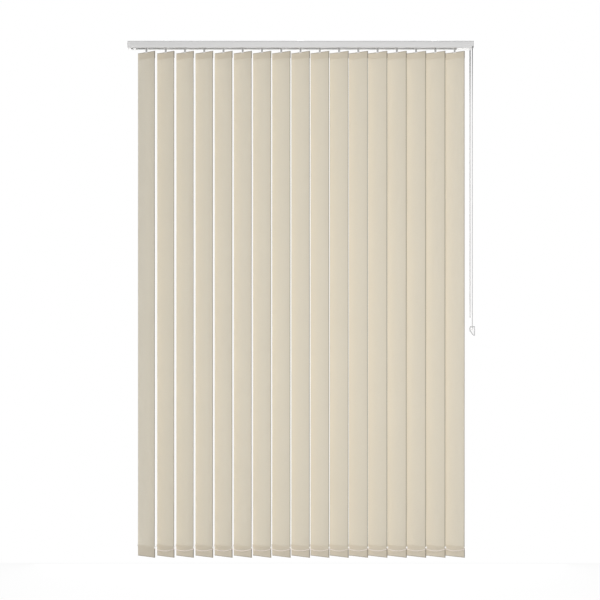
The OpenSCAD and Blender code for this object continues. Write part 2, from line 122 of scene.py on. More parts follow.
class Workbench:
    """Shapes one piece at a time with Blender's own operators."""

    rounding_steps: ClassVar[int] = 2
    sharp_angle: ClassVar[float] = 40.0

    @staticmethod
    def clear() -> None:
        """Leaves edit mode and deselects every object."""
        if bpy.context.mode != "OBJECT":
            bpy.ops.object.mode_set(mode="OBJECT")
        bpy.ops.object.select_all(action="DESELECT")

    @staticmethod
    def take(piece: Piece) -> None:
        """Makes a piece the only selected one, and the active one."""
        Workbench.clear()
        piece.select_set(True)
        bpy.context.view_layer.objects.active = piece

    @staticmethod
    @contextmanager
    def editing(piece: Piece, mode: str = "FACE") -> Iterator[None]:
        """Opens a piece in edit mode with nothing selected.

        Args:
            piece: The piece to edit.
            mode: VERT, EDGE or FACE, what is selected.
        """
        Workbench.take(piece)
        bpy.ops.object.mode_set(mode="EDIT")
        bpy.ops.mesh.select_mode(type=mode)
        bpy.ops.mesh.select_all(action="DESELECT")
        yield
        bpy.ops.object.mode_set(mode="OBJECT")

    @staticmethod
    def choose_faces(piece: Piece, test: FaceTest) -> None:
        """Selects only the faces that pass a test on their centre and normal.

        Args:
            piece: The piece in edit mode.
            test: Takes a face's centre and normal.
        """
        bpy.ops.mesh.select_all(action="DESELECT")
        mesh = bmesh.from_edit_mesh(piece.data)
        mesh.normal_update()
        for face in mesh.faces:
            if test(face.calc_center_median(), face.normal):
                face.select_set(True)
        bmesh.update_edit_mesh(piece.data)

    @staticmethod
    def choose_rims(piece: Piece, angle: float, test: PlaceTest) -> None:
        """Selects only the sharp edges whose two ends pass a test on their place.

        Args:
            piece: The piece in edit mode, where edges are selected.
            angle: Edges sharper than this, in degrees, are taken.
            test: Takes a vertex's place.
        """
        bpy.ops.mesh.select_all(action="DESELECT")
        mesh = bmesh.from_edit_mesh(piece.data)
        mesh.normal_update()
        for edge in mesh.edges:
            sharp = edge.calc_face_angle(0) > math.radians(angle)
            if sharp and all(test(vertex.co) for vertex in edge.verts):
                edge.select_set(True)
        bmesh.update_edit_mesh(piece.data)

    @staticmethod
    def choose_points(piece: Piece, test: PlaceTest) -> None:
        """Selects the vertices that pass a test on their place, and the edges between them.

        Args:
            piece: The piece in edit mode.
            test: Takes a vertex's place.
        """
        mesh = bmesh.from_edit_mesh(piece.data)
        for vertex in mesh.verts:
            vertex.select_set(test(vertex.co))
        mesh.select_flush(True)
        bmesh.update_edit_mesh(piece.data)

    @staticmethod
    def cut(piece: Piece, at: Point, normal: Point, test: FaceTest = everywhere) -> None:
        """Cuts the faces that pass a test along a plane.

        Args:
            piece: The piece in edit mode.
            at: A point of the plane.
            normal: The plane's normal.
            test: Takes a face's centre and normal.
        """
        Workbench.choose_faces(piece, test)
        bpy.ops.mesh.bisect(plane_co=at, plane_no=normal)

    @staticmethod
    def pull(y: float = 0.0, z: float = 0.0) -> None:
        """Extrudes what is selected in edit mode, by a step along Y and Z."""
        bpy.ops.mesh.extrude_region_move(TRANSFORM_OT_translate={"value": (0, y, z)})

    @staticmethod
    def block(name: str, low: Point, high: Point) -> Piece:
        """Starts a piece as a box between two corners.

        Args:
            name: The piece's name.
            low: The lowest corner.
            high: The highest corner.

        Returns:
            The new piece, with its place in its mesh.
        """
        Workbench.clear()
        bpy.ops.mesh.primitive_cube_add(size=1, location=(Vector(low) + Vector(high)) / 2)
        piece = bpy.context.active_object
        piece.name = name
        piece.scale = Vector(high) - Vector(low)
        bpy.ops.object.transform_apply(location=True, rotation=True, scale=True)
        return piece

    @staticmethod
    def disc(name: str, middle: Point, radius: float, depth: float, sides: int, tip: float = 0.0) -> Piece:
        """Starts a piece as a cylinder.

        Args:
            name: The piece's name.
            middle: The cylinder's centre.
            radius: Its radius.
            depth: Its length.
            sides: The number of its side faces.
            tip: The turn about X from upright, in radians.

        Returns:
            The new piece, with its place in its mesh.
        """
        Workbench.clear()
        bpy.ops.mesh.primitive_cylinder_add(
            vertices=sides, radius=radius, depth=depth, location=middle, rotation=(tip, 0, 0)
        )
        piece = bpy.context.active_object
        piece.name = name
        bpy.ops.object.transform_apply(location=True, rotation=True, scale=True)
        return piece

    @staticmethod
    def finish(piece: Piece, kind: str, **settings: object) -> None:
        """Adds a modifier to a piece and applies it.

        Args:
            piece: The piece.
            kind: The modifier's type.
            settings: The modifier's settings by name.
        """
        Workbench.take(piece)
        modifier = piece.modifiers.new(kind.lower(), kind)
        for name, value in settings.items():
            setattr(modifier, name, value)
        bpy.ops.object.modifier_apply(modifier=modifier.name)

    @staticmethod
    def round_edges(piece: Piece, width: float) -> None:
        """Rounds a piece's sharp edges by a width and smooths its shading."""
        Workbench.finish(
            piece,
            "BEVEL",
            width=width,
            segments=Workbench.rounding_steps,
            limit_method="ANGLE",
            angle_limit=math.radians(Workbench.sharp_angle),
        )
        Workbench.smooth(piece, Workbench.sharp_angle)

    @staticmethod
    def smooth(piece: Piece, angle: float) -> None:
        """Shades a piece smooth, apart from edges sharper than an angle in degrees."""
        Workbench.take(piece)
        bpy.ops.object.shade_smooth_by_angle(angle=math.radians(angle))

    @staticmethod
    def joined(name: str, first: Piece, *others: Piece) -> Piece:
        """Joins pieces into one.

        Args:
            name: The joined piece's name.
            first: The piece that takes the others in.
            others: The pieces that go into it.

        Returns:
            The joined piece.
        """
        Workbench.take(first)
        for other in others:
            other.select_set(True)
        bpy.ops.object.join()
        first.name = name
        return first

    @staticmethod
    def copy(piece: Piece, name: str, placement: Matrix | None = None) -> Piece:
        """Copies a piece with a mesh of its own.

        Args:
            piece: The piece to copy.
            name: The copy's name.
            placement: Where the copy goes, written into its mesh.

        Returns:
            The copy.
        """
        made = bpy.data.objects.new(name, piece.data.copy())
        made.data.name = name
        bpy.context.scene.collection.objects.link(made)
        if placement is not None:
            made.data.transform(placement)
        return made

    @staticmethod
    def discard(*pieces: Piece) -> None:
        """Removes the pieces that others were copied from."""
        for piece in pieces:
            bpy.data.objects.remove(piece)


class Wiring:
    """Adds nodes to one tree and links them."""

    mix_inputs: ClassVar[tuple[int, int, int]] = (0, 6, 7)
    mix_output: ClassVar[int] = 2

    def __init__(self, tree: Tree) -> None:
        """Keeps the tree that the nodes go into."""
        self.tree = tree

    def node(self, kind: str, **settings: object) -> Node:
        """Adds a node and sets its properties."""
        made = self.tree.nodes.new(kind)
        for name, value in settings.items():
            setattr(made, name, value)
        return made

    def feed(self, value: object, socket: Socket) -> None:
        """Links a socket to another, or sets it to a constant."""
        if isinstance(value, Socket):
            self.tree.links.new(value, socket)
        else:
            socket.default_value = value

    def math(self, operation: str, *values: object) -> Socket:
        """Adds a Math node.

        Args:
            operation: Its operation.
            values: Its inputs, sockets or numbers.

        Returns:
            Its output.
        """
        made = self.node("ShaderNodeMath", operation=operation)
        for value, socket in zip(values, made.inputs, strict=False):
            self.feed(value, socket)
        return made.outputs[0]

    def noise(self, vector: Socket, scale: float, detail: float = 3.0) -> Socket:
        """Adds a Noise texture and returns its value."""
        made = self.node("ShaderNodeTexNoise")
        self.feed(vector, made.inputs["Vector"])
        self.feed(scale, made.inputs["Scale"])
        self.feed(detail, made.inputs["Detail"])
        return made.outputs[0]

    def mapped(self, vector: Socket, scale: Point) -> Socket:
        """Adds a Mapping node that scales a vector."""
        made = self.node("ShaderNodeMapping")
        self.feed(vector, made.inputs["Vector"])
        self.feed(scale, made.inputs["Scale"])
        return made.outputs[0]

    def remap(
        self, value: Socket, low: float, high: float, to_low: float = 0.0, to_high: float = 1.0
    ) -> Socket:
        """Adds a clamped Map Range node from one span to another."""
        made = self.node("ShaderNodeMapRange")
        for item, socket in zip((value, low, high, to_low, to_high), made.inputs, strict=False):
            self.feed(item, socket)
        return made.outputs[0]

    def blend(self, share: object, first: object, second: object) -> Socket:
        """Adds a colour Mix node.

        Args:
            share: How much of the second colour shows.
            first: The first colour.
            second: The second colour.

        Returns:
            The mixed colour.
        """
        made = self.node("ShaderNodeMix", data_type="RGBA")
        for item, number in zip((share, first, second), self.mix_inputs, strict=True):
            self.feed(item, made.inputs[number])
        return made.outputs[self.mix_output]

    def split(self, vector: Socket) -> tuple[Socket, ...]:
        """Splits a vector into its three values."""
        made = self.node("ShaderNodeSeparateXYZ")
        self.feed(vector, made.inputs[0])
        return tuple(made.outputs)

    def mix_into(self, output: str, share: object, first: Node, second: Node) -> None:
        """Mixes two shaders into the tree's output.

        Args:
            output: The output node's name.
            share: How much of the second shader shows.
            first: The first shader.
            second: The second shader.
        """
        mix = self.node("ShaderNodeMixShader")
        for item, socket in zip((share, first.outputs[0], second.outputs[0]), mix.inputs, strict=True):
            self.feed(item, socket)
        self.feed(mix.outputs[0], self.tree.nodes[output].inputs["Surface"])

    def group(self, tree: Tree, vector: Socket) -> Node:
        """Places a node group and feeds its vector."""
        made = self.node("ShaderNodeGroup", node_tree=tree)
        self.feed(vector, made.inputs["Vector"])
        return made


class PatternGroups:
    """The shader node groups that the finishes share."""

    yarn_pitch: ClassVar[float] = 0.0007
    waver_scale: ClassVar[float] = 260.0
    waver: ClassVar[float] = 0.9
    crossing: ClassVar[Span] = (-0.25, 0.25)
    yarn_round: ClassVar[float] = 0.7
    weft_slub: ClassVar[Point] = (60.0, 1500.0, 1.0)
    warp_slub: ClassVar[Point] = (1300.0, 22.0, 1.0)
    slub_shares: ClassVar[Span] = (0.62, 0.38)
    slub_span: ClassVar[Span] = (0.36, 0.64)
    slub_height: ClassVar[float] = 0.9
    cloud: ClassVar[Point] = (9.0, 2.2, 1.0)
    plastic_grain: ClassVar[float] = 2600.0
    plastic_tone: ClassVar[float] = 42.0
    die_lines: ClassVar[Point] = (3.0, 1900.0, 1900.0)
    metal_tone: ClassVar[Point] = (1.4, 60.0, 60.0)
    strand_pitch: ClassVar[float] = 0.0011
    fibres: ClassVar[float] = 900.0

    def __init__(self) -> None:
        """Builds each group once."""
        self.weave = self._weave()
        self.grain = self._grain()
        self.drawn = self._drawn()
        self.braid = self._braid()

    @staticmethod
    def _start(name: str, *outputs: str) -> tuple[Tree, Wiring, Socket, Node]:
        """Starts a group that takes a vector.

        Args:
            name: The group's name.
            outputs: The names of its values.

        Returns:
            The tree, its wiring, the vector and the output node.
        """
        tree = bpy.data.node_groups.new(name, "ShaderNodeTree")
        tree.interface.new_socket("Vector", in_out="INPUT", socket_type="NodeSocketVector")
        for label in outputs:
            tree.interface.new_socket(label, in_out="OUTPUT", socket_type="NodeSocketFloat")
        wiring = Wiring(tree)
        place = wiring.node("NodeGroupInput").outputs["Vector"]
        return tree, wiring, place, wiring.node("NodeGroupOutput")

    def _weave(self) -> Tree:
        """Plain weave with slubs: threads run along the vector's first two axes.

        Returns:
            The group, with the outputs Height, Slub and Cloud.
        """
        tree, w, place, end = self._start("plain_weave", "Height", "Slub", "Cloud")
        waver = w.math("MULTIPLY", w.math("SUBTRACT", w.noise(place, self.waver_scale), 0.5), self.waver)
        waves = []
        for value in w.split(place)[:2]:
            turn = w.math("ADD", w.math("DIVIDE", value, self.yarn_pitch), waver)
            waves.append(w.math("SINE", w.math("MULTIPLY", turn, math.pi)))
        over = w.remap(w.math("MULTIPLY", *waves), *self.crossing)
        relief = []
        for wave, share in zip(waves, (over, w.math("SUBTRACT", 1.0, over)), strict=True):
            yarn = w.math("POWER", w.math("ABSOLUTE", wave), self.yarn_round)
            relief.append(w.math("MULTIPLY", yarn, share))
        slubs = []
        for scale, share in zip((self.weft_slub, self.warp_slub), self.slub_shares, strict=True):
            slubs.append(w.math("MULTIPLY", w.noise(w.mapped(place, scale), 1.0, detail=4.0), share))
        slub = w.math("ADD", *slubs)
        height = w.math("ADD", w.math("ADD", *relief), w.math("MULTIPLY", slub, self.slub_height))
        w.feed(height, end.inputs["Height"])
        w.feed(w.remap(slub, *self.slub_span), end.inputs["Slub"])
        w.feed(w.noise(w.mapped(place, self.cloud), 1.0, detail=2.0), end.inputs["Cloud"])
        return tree

    def _grain(self) -> Tree:
        """Fine spark-eroded texture of moulded plastic, with a faint change of tone.

        Returns:
            The group, with the outputs Height and Tone.
        """
        tree, w, place, end = self._start("moulded_grain", "Height", "Tone")
        w.feed(w.noise(place, self.plastic_grain, detail=2.0), end.inputs["Height"])
        w.feed(w.noise(place, self.plastic_tone, detail=4.0), end.inputs["Tone"])
        return tree

    def _drawn(self) -> Tree:
        """Fine lines along X, as an extrusion's die or a rolling mill leaves them.

        Returns:
            The group, with the outputs Height and Tone.
        """
        tree, w, place, end = self._start("drawn_lines", "Height", "Tone")
        w.feed(w.noise(w.mapped(place, self.die_lines), 1.0), end.inputs["Height"])
        w.feed(w.noise(w.mapped(place, self.metal_tone), 1.0), end.inputs["Tone"])
        return tree

    def _braid(self) -> Tree:
        """Crossing diagonal strands of a braided cord that runs along Z or X.

        Returns:
            The group, with the outputs Height and Tone.
        """
        tree, w, place, end = self._start("braided_strands", "Height", "Tone")
        x, y, z = w.split(place)
        side = w.math("ADD", x, y)
        strands = []
        for operation in ("ADD", "SUBTRACT"):
            lead = w.math("DIVIDE", w.math(operation, z, side), self.strand_pitch)
            strands.append(w.math("ABSOLUTE", w.math("SINE", w.math("MULTIPLY", lead, math.pi))))
        w.feed(w.math("MULTIPLY", *strands), end.inputs["Height"])
        w.feed(w.noise(place, self.fibres), end.inputs["Tone"])
        return tree


@dataclass(frozen=True)
class Finish:
    """What all the finishes have in common: a colour between two tones, and a bumpy surface."""

    name: str
    light: Colour
    dark: Colour
    roughness: Span
    bump: float
    depth: float = 0.00005
    specular: float = 0.5
    metallic: float = 0.0
    sheen: float = 0.0
    rough_span: ClassVar[Span] = (0.3, 0.7)

    def start(self) -> tuple[Material, Wiring, Node]:
        """Starts the material with its constant values.

        Returns:
            The material, its wiring and its Principled node.
        """
        material = bpy.data.materials.new(self.name)
        material.use_nodes = True
        material.diffuse_color = self.light
        wiring = Wiring(material.node_tree)
        shader = material.node_tree.nodes["Principled BSDF"]
        shader.inputs["Metallic"].default_value = self.metallic
        shader.inputs["Specular IOR Level"].default_value = self.specular
        shader.inputs["Sheen Weight"].default_value = self.sheen
        return material, wiring, shader

    def surface(self, w: Wiring, shader: Node, tone: Socket, height: Socket) -> None:
        """Feeds the roughness and the bump.

        Args:
            w: The material's wiring.
            shader: Its Principled node.
            tone: Drifts over the surface from 0 to 1.
            height: The relief of the surface.
        """
        w.feed(w.remap(tone, *self.rough_span, *self.roughness), shader.inputs["Roughness"])
        bump = w.node("ShaderNodeBump")
        bump.inputs["Strength"].default_value = self.bump
        bump.inputs["Distance"].default_value = self.depth
        w.feed(height, bump.inputs["Height"])
        w.feed(bump.outputs[0], shader.inputs["Normal"])


@dataclass(frozen=True)
class Patterned(Finish):
    """A finish that one of the shared groups draws on the piece's own coordinates."""

    tone_span: ClassVar[Span] = (0.35, 0.65)

    def pattern(self, w: Wiring, groups: PatternGroups, place: Socket) -> Node:
        """Places the group that gives the finish its Tone and Height."""
        raise NotImplementedError

    def tint(self, w: Wiring, body: Socket, place: Socket) -> Socket:
        """Returns the colour that shows, which is the body's unless painted shade is laid over it."""
        return body

    def build(self, groups: PatternGroups) -> Material:
        """Builds the material, its colour and relief from the pattern."""
        material, w, shader = self.start()
        place = w.node("ShaderNodeTexCoord").outputs["Object"]
        pattern = self.pattern(w, groups, place)
        share = w.remap(pattern.outputs["Tone"], *self.tone_span)
        body = w.blend(share, self.dark, self.light)
        w.feed(self.tint(w, body, place), shader.inputs["Base Color"])
        self.surface(w, shader, pattern.outputs["Tone"], pattern.outputs["Height"])
        return material


@dataclass(frozen=True)
class SlatCloth(Finish):
    """Woven slat fabric that lets light through, with painted shade: lighter towards its far edge, darker
    towards its near edge and along its near, top and bottom edges.
    """

    through: Colour = (0.76, 0.82, 0.84, 1.0)
    clearness: float = 0.25
    # painted shade: a tone ramp across the width, lighter at the far edge and darker at the near edge, for
    # light that falls unevenly across the slat
    painted_side_shade: Span = (0.55, -0.05)
    slub_share: float = 0.35
    cloud_share: float = 0.15
    # painted shade: dark colour along the near, top and bottom edges, standing in for the shade at the
    # slat's edges and folds
    edge: Colour = (0.24, 0.205, 0.155, 1.0)
    size: SlatSize = SlatSize()
    painted_shade_width: float = 0.0036

    def build(self, groups: PatternGroups) -> Material:
        """Builds the material on the slat's own cut map, in metres across and along it."""
        material, w, shader = self.start()
        cut = w.node("ShaderNodeUVMap", uv_map="cut").outputs[0]
        weave = w.group(groups.weave, cut)
        across, along, _ = w.split(cut)
        half = self.size.half
        yarn = w.math(
            "ADD",
            w.math("MULTIPLY", weave.outputs["Slub"], self.slub_share),
            w.math("MULTIPLY", weave.outputs["Cloud"], self.cloud_share),
        )
        # painted shade: the ramp across the width is added to the yarn's own tone
        tone = w.math("ADD", yarn, w.remap(across, -half, half, *self.painted_side_shade))
        body = w.blend(tone, self.dark, self.light)
        # painted shade: a mask that rises within a few millimetres of the near, top and bottom edges; the
        # far edge gets none
        inside = w.math("SUBTRACT", half, across)
        under = w.math("SUBTRACT", self.size.top, along)
        over = w.math("SUBTRACT", along, self.size.bottom)
        nearest = w.math("MINIMUM", inside, w.math("MINIMUM", under, over))
        painted_shade_rim = w.remap(nearest, 0.0, self.painted_shade_width, 1.0, 0.0)
        w.feed(w.blend(painted_shade_rim, body, self.edge), shader.inputs["Base Color"])
        self.surface(w, shader, tone, weave.outputs["Height"])
        veil = w.node("ShaderNodeBsdfTranslucent")
        # painted shade also darkens the light let through at those edges
        w.feed(w.blend(painted_shade_rim, self.through, self.edge), veil.inputs["Color"])
        w.mix_into("Material Output", self.clearness, shader, veil)
        return material


@dataclass(frozen=True)
class MouldedPlastic(Patterned):
    """Injection-moulded plastic with a fine spark-eroded skin."""

    def pattern(self, w: Wiring, groups: PatternGroups, place: Socket) -> Node:
        """Places the grain."""
        return w.group(groups.grain, place)


@dataclass(frozen=True)
class DrawnMetal(Patterned):
    """Coated, mill or plated metal with lines along the headrail."""

    def pattern(self, w: Wiring, groups: PatternGroups, place: Socket) -> Node:
        """Places the drawn lines."""
        return w.group(groups.drawn, place)


@dataclass(frozen=True)
class Hanging(Patterned):
    """A hanging cord or chain with painted shade: its colour darkens towards the headrail, standing in for
    the shade under it.
    """

    # painted shade: dark grey blended in from 0.3 m below the headrail up to it, standing in for the shade
    # under it
    top: Colour = (0.035, 0.037, 0.042, 1.0)
    painted_shade_span: Span = (-0.30, -0.065)
    braided: bool = False

    def pattern(self, w: Wiring, groups: PatternGroups, place: Socket) -> Node:
        """Places the braid's strands, or the grain of moulded beads."""
        return w.group(groups.braid if self.braided else groups.grain, place)

    def tint(self, w: Wiring, body: Socket, place: Socket) -> Socket:
        """Returns the body's colour, darkened towards the headrail by painted shade."""
        return w.blend(w.remap(w.split(place)[2], *self.painted_shade_span), body, self.top)


def grey(value: float, warm: float = 0.0) -> Colour:
    """Returns a grey, made warmer by a share."""
    return (value, value * (1 - 0.5 * warm), value * (1 - warm), 1.0)


class FinishLibrary:
    """Every material of the blind, each built once."""

    def __init__(self) -> None:
        """Builds the shared groups and the materials."""
        groups = PatternGroups()
        self.fabric = SlatCloth(
            "slat_fabric",
            light=(0.755, 0.676, 0.553, 1.0),
            dark=(0.622, 0.554, 0.444, 1.0),
            roughness=(0.78, 0.9),
            bump=0.35,
            depth=0.0002,
            specular=0.25,
            sheen=0.15,
        ).build(groups)
        self.rail = DrawnMetal(
            "rail_coating",
            grey(0.60, 0.01),
            grey(0.56, 0.01),
            roughness=(0.5, 0.58),
            bump=0.06,
            specular=0.22,
        ).build(groups)
        self.rod = DrawnMetal(
            "rod_mill_aluminium", grey(0.60), grey(0.48), roughness=(0.3, 0.45), bump=0.15, metallic=1.0
        ).build(groups)
        self.steel = DrawnMetal(
            "zinc_plated_steel", grey(0.62), grey(0.46), roughness=(0.28, 0.5), bump=0.12, metallic=1.0
        ).build(groups)
        self.cap = MouldedPlastic(
            "cap_plastic",
            grey(0.60, 0.01),
            grey(0.55, 0.01),
            roughness=(0.38, 0.48),
            bump=0.12,
            depth=0.00006,
        ).build(groups)
        self.weight = MouldedPlastic(
            "weight_plastic", grey(0.42), grey(0.37), roughness=(0.38, 0.48), bump=0.1, depth=0.00006
        ).build(groups)
        self.clip = MouldedPlastic(
            "clip_plastic", grey(0.94, 0.02), grey(0.88, 0.02), roughness=(0.22, 0.3), bump=0.05
        ).build(groups)
        # partly painted shade: the hook stems' dark grey is partly the plastic's own grey and partly stands
        # in for the headrail's shadow over them
        self.hook = MouldedPlastic(
            "hook_plastic", grey(0.38), grey(0.33), roughness=(0.3, 0.4), bump=0.06
        ).build(groups)
        self.carrier = MouldedPlastic(
            "carrier_plastic",
            grey(0.72, 0.06),
            grey(0.66, 0.06),
            roughness=(0.4, 0.5),
            bump=0.1,
            depth=0.00006,
        ).build(groups)
        # the tilt chain and the draw cord take painted shade towards the headrail from Hanging
        self.chain = Hanging(
            "tilt_chain_plastic", grey(0.58), grey(0.52), roughness=(0.25, 0.35), bump=0.03
        ).build(groups)
        self.link = MouldedPlastic(
            "bottom_chain_plastic",
            light=(0.97, 0.89, 0.87, 1.0),
            dark=(0.92, 0.83, 0.80, 1.0),
            roughness=(0.25, 0.35),
            bump=0.03,
        ).build(groups)
        self.cord = Hanging(
            "draw_cord_braid",
            grey(0.55),
            grey(0.45),
            roughness=(0.75, 0.9),
            bump=0.6,
            depth=0.00025,
            specular=0.3,
            sheen=0.1,
            braided=True,
        ).build(groups)


def wear(piece: Piece, material: Material) -> None:
    """Gives a piece one material."""
    piece.data.materials.clear()
    piece.data.materials.append(material)


@dataclass
class Studio:
    """White background, pale floor, soft light and the photograph's camera."""

    eye: Point = (-0.0025, -4.79, -1.176)
    lens: float = 69.2
    rise: float = 0.0408
    floor_z: float = -2.62
    floor_size: float = 4.4
    floor_tone: float = 0.9
    floor_roughness: float = 0.9
    floor_glow: float = 0.95
    sensor: float = 36.0
    aim: Point = (0, 0, -1.05)
    ambient: Span = (0.8, 0.05)
    horizon: Span = (0.2, 0.5)
    lamps: list[tuple[str, Point, float, float]] = field(
        default_factory=lambda: [
            ("front_key", (0.35, -4.6, -0.5), 2.2, 162.0),
            ("lit_backdrop", (0.0, 2.2, -1.1), 3.2, 86.0),
        ]
    )

    def camera(self) -> None:
        """Makes the camera that matches the photograph."""
        data = bpy.data.cameras.new("photo_camera")
        data.lens = self.lens
        data.sensor_width = self.sensor
        data.shift_y = self.rise
        camera = bpy.data.objects.new("photo_camera", data)
        camera.location = self.eye
        camera.rotation_euler = (math.pi / 2, 0, 0)
        bpy.context.scene.collection.objects.link(camera)
        bpy.context.scene.camera = camera

    def light(self) -> None:
        """Makes the lamps and the white world, which lights mostly from the sides."""
        for name, place, size, power in self.lamps:
            data = bpy.data.lights.new(name, "AREA")
            data.size = size
            data.energy = power
            lamp = bpy.data.objects.new(name, data)
            lamp.location = place
            lamp.visible_camera = False
            aim = Vector(self.aim) - Vector(place)
            lamp.rotation_euler = aim.to_track_quat("-Z", "Y").to_euler()
            bpy.context.scene.collection.objects.link(lamp)
        world = bpy.data.worlds.new("white_room")
        world.use_nodes = True
        bpy.context.scene.world = world
        w = Wiring(world.node_tree)
        room = world.node_tree.nodes["Background"]
        room.inputs["Color"].default_value = (1, 1, 1, 1)
        tilt = w.math("ABSOLUTE", w.split(w.node("ShaderNodeTexCoord").outputs["Generated"])[2])
        w.feed(w.remap(tilt, *self.horizon, *self.ambient), room.inputs["Strength"])
        seen = w.node("ShaderNodeBackground")
        seen.inputs["Color"].default_value = (1, 1, 1, 1)
        w.mix_into("World Output", self.seen_directly(w), room, seen)
        bpy.context.scene.view_settings.view_transform = "Standard"

    @staticmethod
    def seen_directly(w: Wiring) -> Socket:
        """Returns 1 for camera, glossy and transmission rays."""
        path = w.node("ShaderNodeLightPath")
        shiny = w.math("MAXIMUM", path.outputs["Is Glossy Ray"], path.outputs["Is Transmission Ray"])
        return w.math("MAXIMUM", path.outputs["Is Camera Ray"], shiny)

    def floor(self) -> None:
        """Makes the pale floor, white to the camera apart from the blind's soft shadow."""
        Workbench.clear()
        bpy.ops.mesh.primitive_plane_add(size=self.floor_size, location=(0, 0, self.floor_z))
        floor = bpy.context.active_object
        floor.name = "pale_floor"
        material = bpy.data.materials.new("pale_floor")
        material.use_nodes = True
        w = Wiring(material.node_tree)
        shader = material.node_tree.nodes["Principled BSDF"]
        shader.inputs["Base Color"].default_value = grey(self.floor_tone)
        shader.inputs["Roughness"].default_value = self.floor_roughness
        glow = w.node("ShaderNodeEmission")
        glow.inputs["Strength"].default_value = 1.0
        share = w.math("MULTIPLY", self.seen_directly(w), self.floor_glow)
        w.mix_into("Material Output", share, shader, glow)
        wear(floor, material)


@dataclass(frozen=True)
class BlindLayout:
    """Where the slats hang."""

    count: int = 17
    pitch: float = 0.080
    first_x: float = -0.64
    turn: float = math.radians(-31.5)

    def numbers(self) -> range:
        """Returns the slats' numbers, from the left."""
        return range(1, self.count + 1)

    def axis_x(self, number: int) -> float:
        """Returns the place of a slat's axis along the headrail."""
        return self.first_x + (number - 1) * self.pitch

    def placement(self, number: int) -> Matrix:
        """Returns the matrix from a slat's own frame to the blind's."""
        return Matrix.Translation((self.axis_x(number), 0, 0)) @ Matrix.Rotation(self.turn, 4, "Z")


